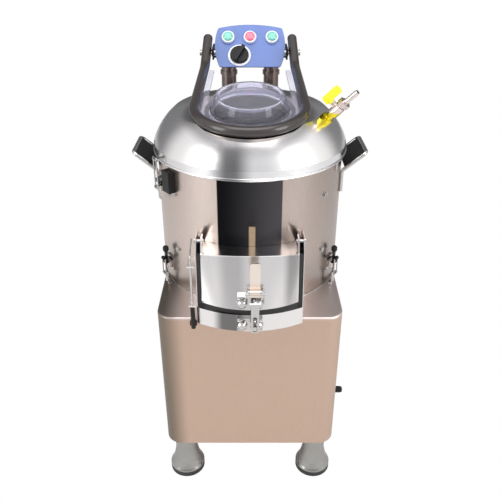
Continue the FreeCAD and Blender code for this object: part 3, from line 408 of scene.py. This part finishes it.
# %% Button caps
def lit_cap(name, color, center):
    glow_start, glow_end = 0.002, 0.012
    glow_gain, glow_lift = 1.35, 0.08
    cloud_scale, cloud_spread, polish = 500.0, 0.05, 0.12
    material, tree, shader = new_material(name)
    distance = tree.nodes.new("ShaderNodeVectorMath")
    distance.operation = "DISTANCE"
    distance.inputs[1].default_value = center
    tree.links.new(object_point(tree), distance.inputs[0])
    rim = smooth_step(tree, distance.outputs["Value"], glow_start, glow_end)
    paler = tuple(min(1.0, c * glow_gain + glow_lift) for c in color)
    tree.links.new(mix_color(tree, rim, paler, color), shader.inputs["Base Color"])
    spread = math_node(tree, "MULTIPLY_ADD", noise(tree, cloud_scale), cloud_spread, polish)
    tree.links.new(spread, shader.inputs["Roughness"])
    shader.inputs["Coat Weight"].default_value = 0.6
    return material


def button_center(name):
    low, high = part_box(name)
    return tuple((a + b) / 2 for a, b in zip(low, high))


TEAL = (0.14, 0.50, 0.40)
RED = (0.80, 0.12, 0.22)
caps = {"start_button": lit_cap("cap_left", TEAL, button_center("start_button")),
        "stop_button": lit_cap("cap_middle", RED, button_center("stop_button")),
        "pulse_button": lit_cap("cap_right", TEAL, button_center("pulse_button"))}
print("button caps:", len(caps))

# %% [markdown]
# ## Clear plastic and grit
# The feed cover is a clear moulding with a faint violet tint and a slow ripple in its polish. Its index of
# refraction is set below that of real plastic, which bends what is behind it less. The disc and the liner
# inside carry abrasive grit: a cell pattern gives the grains, each pale in its middle and dark at its edge.

# %% Clear plastic and grit
def clear_plastic():
    drift_scale, ripple_scale = 9.0, 30.0
    ripple_spread, polish = 0.05, 0.01
    violet, pale_violet = (0.84, 0.84, 0.97), (0.90, 0.89, 0.98)
    material, tree, shader = new_material("clear_plastic")
    tint = mix_color(tree, noise(tree, drift_scale), violet, pale_violet)
    tree.links.new(tint, shader.inputs["Base Color"])
    shader.inputs["Transmission Weight"].default_value = 0.92
    shader.inputs["IOR"].default_value = 1.28
    spread = math_node(tree, "MULTIPLY_ADD", noise(tree, ripple_scale), ripple_spread, polish)
    tree.links.new(spread, shader.inputs["Roughness"])
    return material


def grit(name, color):
    grain_scale, grain_bump, grain_depth = 420.0, 0.8, 0.0012
    middle, edge = scaled_color(color, 1.6), scaled_color(color, 0.5)
    material, tree, shader = new_material(name)
    cells = tree.nodes.new("ShaderNodeTexVoronoi")
    cells.inputs["Scale"].default_value = grain_scale
    tree.links.new(object_point(tree), cells.inputs["Vector"])
    grain = cells.outputs["Distance"]
    tint = mix_color(tree, grain, middle, edge)
    tree.links.new(tint, shader.inputs["Base Color"])
    shader.inputs["Roughness"].default_value = 0.85
    add_bump(tree, shader, grain, grain_bump, grain_depth)
    return material


clear = clear_plastic()
abrasive = grit("abrasive", (0.16, 0.15, 0.14))
print("materials:", len(bpy.data.materials))

# %% [markdown]
# ## Which piece has which finish
# One table from finish to pieces is easier to check against the machine than a line for each piece. The
# loop puts the finish in every material slot of the piece, and the count shows that none is left out.

# %% Finishes
finishes = [
    (cabinet_steel, ["base_cabinet", "base_floor_panel"]),
    (foot_steel, ["bell_feet"]),
    (drum_steel, ["drum_shell"]),
    (lid_steel, ["lid_dome"]),
    (collar_steel, ["feed_collar"]),
    (door_steel, ["door_panel"]),
    (apron_steel, ["chute_body"]),
    (box_steel, ["control_box"]),
    (bright_steel, ["liner_screws", "side_handles", "door_pins", "hinge_pins", "door_latch_bracket",
                    "door_link", "keeper_bracket", "latch_brackets", "left_latch_link", "right_latch_link",
                    "lid_latch_link", "lid_latch_lever", "latch_keepers", "switch_rod", "drive_shaft",
                    "bearings"]),
    (lever_steel, ["door_lever"]),
    (valve_metal, ["valve_body"]),
    (barb_metal, ["hose_barb"]),
    (post_metal, ["panel_posts"]),
    (machined_iron, ["motor_pulley"]),
    (bail_plastic, ["bail_tube"]),
    (black_plastic, ["handle_inserts", "hinge_lugs", "left_latch_lever", "right_latch_lever", "timer_knob",
                     "lid_safety_switch", "cable_gland", "waste_pipe", "switch_sleeve"]),
    (panel_blue, ["control_faceplate"]),
    (white_plastic, ["button_bezels", "timer_housing"]),
    (yellow_plastic, ["valve_lever"]),
    (clear, ["clear_cover"]),
    (rubber, ["foot_pads", "lid_gasket", "cover_seal", "door_gasket", "drive_belt", "shaft_seal"]),
    (abrasive, ["abrasive_liner", "abrasive_disc"]),
    (cast, ["motor_body", "driven_pulley", "bearing_housing"]),
]
finishes += [(material, [name]) for name, material in caps.items()]


def paint(obj, material):
    if not obj.material_slots:
        obj.data.materials.append(material)
    for slot in obj.material_slots:
        slot.material = material


painted = set()
for material, names in finishes:
    for name in names:
        paint(nodes[name], material)
        painted.add(name)
print("painted:", len(painted), "left:", sorted(set(nodes) - painted))

# %% [markdown]
# ## A piece made with geometry nodes
# A piece that follows a path is a node group with named inputs. A holder object runs it once, and the
# result is kept as a plain mesh with its material, its body and its slot. An input is set by its socket's
# identifier, which stays the same when the input's label changes.

# %% Geometry node helpers
def node_group(name, inputs):
    group = bpy.data.node_groups.new(name, "GeometryNodeTree")
    sockets = {}
    for label, kind in inputs:
        sockets[label] = group.interface.new_socket(label, in_out="INPUT", socket_type=kind).identifier
    group.interface.new_socket("Geometry", in_out="OUTPUT", socket_type="NodeSocketGeometry")
    return group, sockets


def grown(name, group, sockets, values, material, body):
    """Runs a node group once and keeps its result as a plain mesh."""
    holder = bpy.data.objects.new(name + "_holder", bpy.data.meshes.new(name + "_empty"))
    scene.collection.objects.link(holder)
    modifier = holder.modifiers.new("grow", "NODES")
    modifier.node_group = group
    for label, value in values.items():
        modifier[sockets[label]] = value
    bpy.context.view_layer.update()
    evaluated = holder.evaluated_get(bpy.context.evaluated_depsgraph_get())
    mesh = bpy.data.meshes.new_from_object(evaluated)
    bpy.data.objects.remove(holder)
    piece = bpy.data.objects.new(name, mesh)
    scene.collection.objects.link(piece)
    mesh.materials.clear()
    mesh.materials.append(material)
    for polygon in mesh.polygons:
        polygon.use_smooth = True
    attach(piece, body)
    return piece


print("geometry helpers ready")

# %% [markdown]
# ## The weld round the drum's foot
# The drum is taken as welded to the cabinet's top, with a thin rippled bead. A torus would be perfectly
# smooth. Here a circle carries a small round profile whose size follows a sine of the point's number, so
# the bead swells and thins like a weld made in short strokes.

# %% Weld bead
bead_circle = 0.2006
bead_radius = 0.0012
bead_lift = 0.001
bead_steps = 480
bead_sides = 10
ripple_depth = 0.12


def bead_group(material):
    group, sockets = node_group("weld_bead", [("Radius", "NodeSocketFloat"), ("Height", "NodeSocketFloat"),
                                              ("Bead", "NodeSocketFloat"), ("Steps", "NodeSocketInt")])
    add, link = group.nodes.new, group.links.new
    source, out = add("NodeGroupInput"), add("NodeGroupOutput")
    circle = add("GeometryNodeCurvePrimitiveCircle")
    link(source.outputs["Steps"], circle.inputs["Resolution"])
    link(source.outputs["Radius"], circle.inputs["Radius"])
    profile = add("GeometryNodeCurvePrimitiveCircle")
    profile.inputs["Resolution"].default_value = bead_sides
    link(source.outputs["Bead"], profile.inputs["Radius"])

    place = add("ShaderNodeCombineXYZ")
    link(source.outputs["Height"], place.inputs["Z"])
    lift = add("GeometryNodeTransform")
    link(place.outputs[0], lift.inputs["Translation"])
    link(circle.outputs[0], lift.inputs["Geometry"])

    wave = add("ShaderNodeMath")
    wave.operation = "SINE"
    link(add("GeometryNodeInputIndex").outputs[0], wave.inputs[0])
    swell = add("ShaderNodeMath")
    swell.operation = "MULTIPLY_ADD"
    swell.inputs[1].default_value = ripple_depth
    swell.inputs[2].default_value = 1.0
    link(wave.outputs[0], swell.inputs[0])

    tube = add("GeometryNodeCurveToMesh")
    link(lift.outputs[0], tube.inputs["Curve"])
    link(profile.outputs[0], tube.inputs["Profile Curve"])
    link(swell.outputs[0], tube.inputs["Scale"])
    finish = add("GeometryNodeSetMaterial")
    finish.inputs["Material"].default_value = material
    link(tube.outputs[0], finish.inputs[0])
    link(finish.outputs[0], out.inputs[0])
    return group, sockets


bead, bead_sockets = bead_group(bright_steel)
drum_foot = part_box("drum_shell")[0][2]
foot_weld = grown("drum_foot_weld", bead, bead_sockets,
                  {"Radius": bead_circle, "Height": drum_foot + bead_lift, "Bead": bead_radius,
                   "Steps": bead_steps},
                  bright_steel, "base")
print("weld bead:", len(foot_weld.data.vertices), "vertices")

# %% [markdown]
# ## Camera
# The camera stands where the photographer's stood: straight in front, above the lid and looking down. Its
# place, lens and tilt were solved from the photograph. A camera set by eye would be quicker, and a render
# from it couldn't be set against the photograph point by point.

# %% Camera
camera_place = (0.0, -1.2528, 1.1845)
looking_down = 28.84

camera_data = bpy.data.cameras.new("camera")
camera_data.lens = 43.0
camera_data.sensor_width = 36.0
camera_data.clip_end = 50.0
camera = bpy.data.objects.new("camera", camera_data)
camera.location = camera_place
camera.rotation_euler = (math.radians(90 - looking_down), 0, 0)
scene.collection.objects.link(camera)
scene.camera = camera
scene.view_settings.view_transform = "Standard"
print("camera:", camera_data.lens, "mm,", looking_down, "degrees down")

# %% [markdown]
# ## Floor
# The machine stands on a plain pale floor. The floor looks pure white to the camera and through the clear
# cover, and pale grey to light that bounces off it, so that the steel mirrors a surface and not a glare.
# Light Path tells the two apart.

# %% Floor
def plane(name, size, z):
    mesh = bpy.data.meshes.new(name)
    h = size / 2
    mesh.from_pydata([(-h, -h, z), (h, -h, z), (h, h, z), (-h, h, z)], [], [(0, 1, 2, 3)])
    obj = bpy.data.objects.new(name, mesh)
    scene.collection.objects.link(obj)
    return obj


def seen_directly(tree):
    """1 for the camera's own rays and for those that pass through clear plastic."""
    path = tree.nodes.new("ShaderNodeLightPath")
    return math_node(tree, "MAXIMUM", path.outputs["Is Camera Ray"], path.outputs["Is Transmission Ray"])


floor_size = 12.0
floor_height = -0.0005
floor_cloud = 3.0
floor_grey, floor_pale = (0.80, 0.80, 0.80), (0.86, 0.86, 0.86)

floor = plane("floor", floor_size, floor_height)
floor_material, tree, shader = new_material("floor")
tint = mix_color(tree, noise(tree, floor_cloud), floor_grey, floor_pale)
tree.links.new(tint, shader.inputs["Base Color"])
shader.inputs["Roughness"].default_value = 0.8
glow = tree.nodes.new("ShaderNodeEmission")
glow.inputs["Color"].default_value = (1, 1, 1, 1)
both = tree.nodes.new("ShaderNodeMixShader")
tree.links.new(seen_directly(tree), both.inputs[0])
tree.links.new(shader.outputs[0], both.inputs[1])
tree.links.new(glow.outputs[0], both.inputs[2])
output = [n for n in tree.nodes if n.type == "OUTPUT_MATERIAL"][0]
tree.links.new(both.outputs[0], output.inputs[0])
floor.data.materials.append(floor_material)
print("floor:", floor.name)

# %% [markdown]
# ## Sky
# Steel shows what is round it, so the sky is where the steel gets its shape. It is pale at the sides and
# overhead, a little darker in front and dark behind the machine. The camera itself sees plain white.

# %% Sky
sky_front = (0.66, 0.66, 0.67)
sky_side, side_zone = (0.92, 0.90, 0.89), (0.25, 0.75)
sky_top, top_zone = (0.95, 0.95, 0.96), (0.35, 0.9)
sky_back, back_zone = (0.20, 0.20, 0.205), (0.15, 0.6)
plain_white = (1.0, 1.0, 1.0)

world = bpy.data.worlds.new("studio")
world.use_nodes = True
scene.world = world
tree = world.node_tree
tree.nodes.clear()
coords = tree.nodes.new("ShaderNodeTexCoord")
split = tree.nodes.new("ShaderNodeSeparateXYZ")
tree.links.new(coords.outputs["Generated"], split.inputs[0])
sides = smooth_step(tree, math_node(tree, "ABSOLUTE", split.outputs["X"]), *side_zone)
mirrored = mix_color(tree, sides, sky_front, sky_side)
overhead = smooth_step(tree, split.outputs["Z"], *top_zone)
mirrored = mix_color(tree, overhead, mirrored, sky_top)
behind = smooth_step(tree, split.outputs["Y"], *back_zone)
mirrored = mix_color(tree, behind, mirrored, sky_back)
sky = mix_color(tree, seen_directly(tree), mirrored, plain_white)
background = tree.nodes.new("ShaderNodeBackground")
background.inputs["Strength"].default_value = 1.0
tree.links.new(sky, background.inputs["Color"])
world_output = tree.nodes.new("ShaderNodeOutputWorld")
tree.links.new(background.outputs[0], world_output.inputs[0])
print("sky:", world.name)

# %% [markdown]
# ## Lamps
# Two tall soft boxes, one to each side in front, put a broad highlight on either side of every curve. A
# third above fills the lid. Large soft lamps keep the shadows pale, as in a catalogue picture.

# %% Lamps
def soft_light(name, place, target, width, height, power):
    data = bpy.data.lights.new(name, "AREA")
    data.shape = "RECTANGLE"
    data.size, data.size_y, data.energy = width, height, power
    lamp = bpy.data.objects.new(name, data)
    lamp.location = place
    lamp.rotation_euler = (Vector(target) - Vector(place)).to_track_quat("-Z", "Y").to_euler()
    scene.collection.objects.link(lamp)
    lamp.visible_camera = False


drum_middle = (0, 0, 0.55)
machine_middle = (0, 0, 0.5)
soft_light("left_softbox", (-1.9, -1.3, 1.3), drum_middle, width=0.9, height=1.8, power=22)
soft_light("right_softbox", (1.9, -1.3, 1.4), drum_middle, width=0.9, height=1.8, power=22)
soft_light("top_softbox", (0, -0.5, 2.4), machine_middle, width=1.6, height=1.2, power=16)
